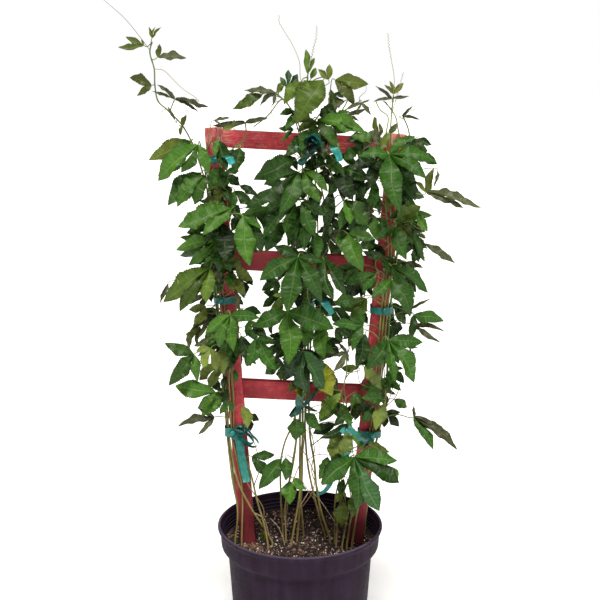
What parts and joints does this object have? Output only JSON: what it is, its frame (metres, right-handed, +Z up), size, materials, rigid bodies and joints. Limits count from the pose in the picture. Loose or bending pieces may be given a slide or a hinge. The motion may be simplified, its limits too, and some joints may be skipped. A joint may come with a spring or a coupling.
{
  "type": "potted climbing plant on a ladder trellis",
  "caption": "Climbing passion flower vine with palmate lobed leaves and fine tendrils, tied with teal tape to a red wooden ladder trellis in a round dark nursery pot of potting mix.",
  "frame": {"origin": "centre of the underside of the pot, which stands on z = 0", "axes": "+Z up, +X to the right along the trellis as seen from the leafy front, +Y away from the front"},
  "size_m": [0.593, 0.28, 1.1026],
  "materials": {
    "pot_plastic": "thin blow-moulded nursery pot plastic, dark purple grey",
    "potting_mix": "bark and peat potting mix",
    "red_paint_wood": "sawn softwood with worn red stain",
    "nail_steel": "dull wire nail",
    "teal_tape": "stretch tie tape",
    "dry_wood": "dead bare twig",
    "leaf_green": "living leaves and stems"
  },
  "bodies": {
    "root": {"pot": "pot_plastic", "soil": "potting_mix", "upright_left": "red_paint_wood", "upright_right": "red_paint_wood", "rung_top": "red_paint_wood", "rung_middle": "red_paint_wood", "rung_lower": "red_paint_wood", "nail_lower_left": "nail_steel", "nail_lower_right": "nail_steel", "nail_middle_left": "nail_steel", "nail_middle_right": "nail_steel", "nail_top_left": "nail_steel", "nail_top_right": "nail_steel", "tie_centre_low": "teal_tape", "tie_centre_middle": "teal_tape", "tie_centre_top": "teal_tape", "tie_left_low": "teal_tape", "tie_left_middle": "teal_tape", "tie_left_top": "teal_tape", "tie_right_low": "teal_tape", "tie_right_middle": "teal_tape", "dry_twig": "dry_wood", "vine_C1": "leaf_green", "vine_C2": "leaf_green", "vine_C3": "leaf_green", "vine_C4": "leaf_green", "vine_C5": "leaf_green", "vine_C6": "leaf_green", "vine_C7": "leaf_green", "vine_L1": "leaf_green", "vine_L2": "leaf_green", "vine_L3": "leaf_green", "vine_L4": "leaf_green", "vine_L5": "leaf_green", "vine_R1": "leaf_green", "vine_R2": "leaf_green", "vine_R3": "leaf_green", "vine_R4": "leaf_green", "vine_R5": "leaf_green", "vine_R6": "leaf_green"}
  },
  "joints": []
}
